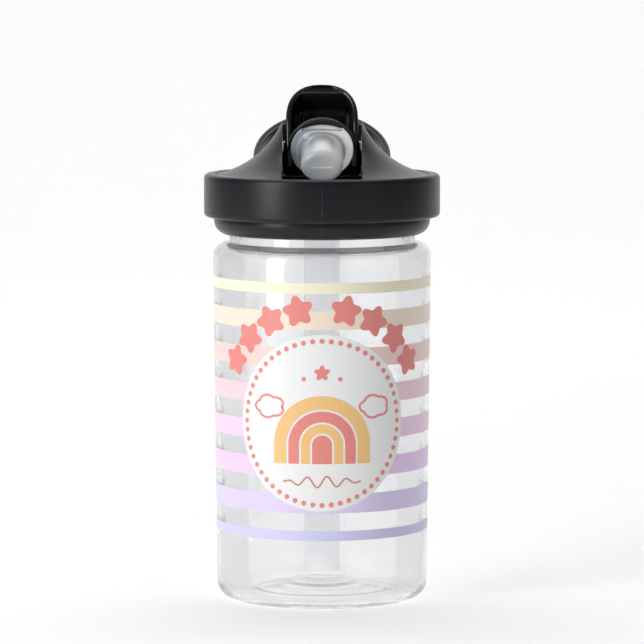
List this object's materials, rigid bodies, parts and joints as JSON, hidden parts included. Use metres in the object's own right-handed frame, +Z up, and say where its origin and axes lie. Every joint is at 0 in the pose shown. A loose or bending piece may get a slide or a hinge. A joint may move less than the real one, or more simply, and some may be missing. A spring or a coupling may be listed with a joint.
{
  "type": "kids water bottle",
  "caption": "Clear kids water bottle with a black screw lid, flip-up straw spout with a soft mouthpiece, thumb hood, side cheeks and a carry loop.",
  "frame": {"origin": "centre of the base, on the surface the bottle stands on", "axes": "+Z up along the bottle's axis, -Y towards the mouthpiece's tip, +X to the right as seen from the mouthpiece's side"},
  "size_m": [0.0794, 0.0794, 0.1732],
  "materials": {
    "clear_body": "clear polished plastic",
    "cap_black": "fine satin grain",
    "cover_black": "smooth satin",
    "spout_black": "smooth semi-gloss",
    "mouth_silicone": "frosty translucent silicone",
    "seal_silicone": "matte silicone",
    "straw_plastic": "frosty translucent plastic"
  },
  "bodies": {
    "bottle": {"bottle_body": "clear_body"},
    "gasket": {"neck_gasket": "seal_silicone"},
    "lid": {"screw_cap": "cap_black", "top_cover": "cover_black", "carry_loop": "cover_black", "spout_seal": "seal_silicone", "straw_socket": "seal_silicone", "straw": "straw_plastic", "vent_valve": "seal_silicone"},
    "spout": {"flip_spout": "spout_black", "bite_valve": "mouth_silicone"}
  },
  "joints": [
    {"name": "lid_rise", "type": "slide", "parent": "bottle", "child": "gasket", "axis": [0, 0, 1], "range_m": [0, 0.00667]},
    {"name": "lid_screw", "type": "hinge", "parent": "gasket", "child": "lid", "pos_m": [0, 0, 0.138], "axis": [0, 0, 1], "range_deg": [0, 480]},
    {"name": "spout_flip", "type": "hinge", "parent": "lid", "child": "spout", "pos_m": [0, 0, 0.1485], "axis": [-1, 0, 0], "range_deg": [0, 90]}
  ],
  "couplings": [
    {"joint": "lid_screw", "follows": "lid_rise", "rad_per_m": 1256.6}
  ]
}
